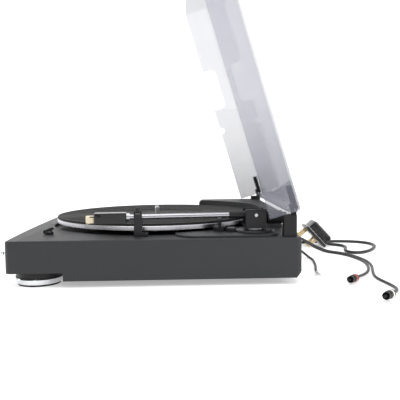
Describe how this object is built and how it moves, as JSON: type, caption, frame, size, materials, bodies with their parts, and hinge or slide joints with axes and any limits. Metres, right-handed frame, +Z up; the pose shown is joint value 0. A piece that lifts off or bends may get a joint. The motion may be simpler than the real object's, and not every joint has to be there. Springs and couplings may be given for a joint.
{
  "type": "turntable record player",
  "caption": "Automatic belt-drive turntable: dark plinth on round feet, bright platter, straight tonearm on its rest, smoked hinged lid held open, cords behind",
  "frame": {"origin": "on the platter's axis, in the plane that a record rests on (the mat's top)", "axes": "+Z up along the record spindle, -Y towards the front panel, +X towards the tonearm side"},
  "size_m": [0.4711, 0.5504, 0.4217],
  "materials": {
    "plinth_plastic": "fine-grained dark charcoal moulding",
    "panel_plastic": "smooth dark charcoal moulding",
    "black_plastic": "plain black moulding",
    "gloss_black": "glossy black moulding",
    "steel_plate": "zinc-plated steel",
    "bright_steel": "polished and plated",
    "platter_alloy": "die-cast with a turned bright rim",
    "foot_ring": "plated ring",
    "rubber_black": "plain black rubber",
    "mat_rubber": "ribbed black rubber",
    "smoke_clear": "smoke-tinted clear acrylic",
    "ivory_plastic": "ivory moulding",
    "brass_part": "machined brass",
    "white_nylon": "natural nylon gear",
    "board_green": "printed board with components",
    "iron_core": "laminated iron with windings",
    "red_plastic": "red-banded black moulding",
    "white_plastic": "white-banded black moulding",
    "cord_black": "black cord jacket",
    "lever_light": "pale grey moulding"
  },
  "bodies": {
    "chassis": {"plinth_shell": "plinth_plastic", "front_panel": "panel_plastic", "base_plate": "black_plastic", "base_screws": "steel_plate", "front_foot_cups": "black_plastic", "front_foot_rings": "foot_ring", "front_foot_pads": "rubber_black", "rear_feet": "rubber_black", "platter_pan": "black_plastic", "rear_shelf": "plinth_plastic", "bearing_housing": "brass_part", "drive_belt": "rubber_black", "motor": "steel_plate", "control_board": "board_green", "mains_transformer": "iron_core", "arm_base": "black_plastic", "lift_guide": "black_plastic", "arm_rest_post": "black_plastic", "hinge_posts": "black_plastic", "hinge_pins": "bright_steel", "signal_sockets": "bright_steel", "signal_plug_right": "red_plastic", "signal_plug_left": "white_plastic", "signal_cord_right": "cord_black", "signal_cord_left": "cord_black", "far_plug_right": "red_plastic", "far_plug_left": "white_plastic", "ground_post": "bright_steel", "ground_wire": "cord_black", "ground_lug": "bright_steel", "mains_gland": "rubber_black", "mains_cord": "cord_black", "mains_coil": "cord_black", "mains_plug": "gloss_black"},
    "turning_platter": {"platter": "platter_alloy", "platter_mat": "mat_rubber", "spindle": "bright_steel", "drive_pinion": "white_nylon"},
    "motor_rotor": {"motor_pulley": "brass_part"},
    "cycle_cam": {"cam_gear": "white_nylon"},
    "arm_turret": {"arm_yoke": "gloss_black", "arm_shaft": "bright_steel", "arm_pivot_screws": "bright_steel"},
    "arm_beam": {"arm_bearing_block": "gloss_black", "arm_tube": "bright_steel", "headshell_collar": "bright_steel", "headshell": "gloss_black", "finger_lift": "bright_steel", "cartridge": "black_plastic", "stylus_holder": "ivory_plastic"},
    "balance_weight": {"counterweight": "gloss_black"},
    "lifter": {"lift_bar": "black_plastic"},
    "rest_clip": {"arm_rest_clip": "black_plastic"},
    "lid_assembly": {"lid": "smoke_clear", "hinge_leaves": "black_plastic"},
    "start_key": {"start_button": "black_plastic"},
    "stop_key": {"stop_button": "black_plastic"},
    "lift_key": {"lift_button": "black_plastic"},
    "power_key": {"power_knob": "black_plastic"},
    "record_size_lever": {"size_selector": "lever_light"}
  },
  "joints": [
    {"name": "platter_spin", "type": "hinge", "parent": "chassis", "child": "turning_platter", "pos_m": [0, 0, 0], "axis": [0, 0, -1], "continuous": true},
    {"name": "motor_spin", "type": "hinge", "parent": "chassis", "child": "motor_rotor", "pos_m": [-0.086, 0.086, -0.02], "axis": [0, 0, -1], "continuous": true},
    {"name": "cam_turn", "type": "hinge", "parent": "chassis", "child": "cycle_cam", "pos_m": [0.02215, -0.03837, -0.017], "axis": [0, 0, 1], "range_deg": [-6, 6]},
    {"name": "arm_swing", "type": "hinge", "parent": "chassis", "child": "arm_turret", "pos_m": [0.147, 0.132, 0.01], "axis": [0, 0, -1], "range_deg": [0, 36]},
    {"name": "arm_pitch", "type": "hinge", "parent": "arm_turret", "child": "arm_beam", "pos_m": [0.147, 0.132, 0.01], "axis": [-0.9969, -0.0785, 0], "range_deg": [0, 1.9]},
    {"name": "counterweight_slide", "type": "slide", "parent": "arm_beam", "child": "balance_weight", "axis": [-0.0785, 0.9969, 0], "range_m": [-0.001, 0.003]},
    {"name": "arm_lift", "type": "slide", "parent": "chassis", "child": "lifter", "axis": [0, 0, 1], "range_m": [0, 0.00149]},
    {"name": "rest_clip_turn", "type": "hinge", "parent": "chassis", "child": "rest_clip", "pos_m": [0.16487, -0.02005, 0.0169], "axis": [0, -1, 0], "range_deg": [0, 80]},
    {"name": "lid_hinge", "type": "hinge", "parent": "chassis", "child": "lid_assembly", "pos_m": [0.012, 0.176, 0.0185], "axis": [1, 0, 0], "range_deg": [0, 73.6]},
    {"name": "start_press", "type": "slide", "parent": "chassis", "child": "start_key", "axis": [0, 1, 0], "range_m": [0, 0.0012], "stiffness_N_per_m": 300},
    {"name": "stop_press", "type": "slide", "parent": "chassis", "child": "stop_key", "axis": [0, 1, 0], "range_m": [0, 0.0012], "stiffness_N_per_m": 300},
    {"name": "lift_press", "type": "slide", "parent": "chassis", "child": "lift_key", "axis": [0, 1, 0], "range_m": [0, 0.0012]},
    {"name": "power_press", "type": "slide", "parent": "chassis", "child": "power_key", "axis": [0, 1, 0], "range_m": [0, 0.004], "stiffness_N_per_m": 200},
    {"name": "size_select", "type": "hinge", "parent": "chassis", "child": "record_size_lever", "pos_m": [0.13, -0.1335, -0.014], "axis": [0, 0, -1], "range_deg": [0, 60]}
  ],
  "couplings": [
    {"joint": "motor_spin", "follows": "platter_spin", "ratio": 14.286},
    {"joint": "arm_lift", "follows": "arm_pitch", "m_per_rad": 0.045},
    {"joint": "lift_press", "follows": "arm_pitch", "m_per_rad": 0.036151}
  ]
}
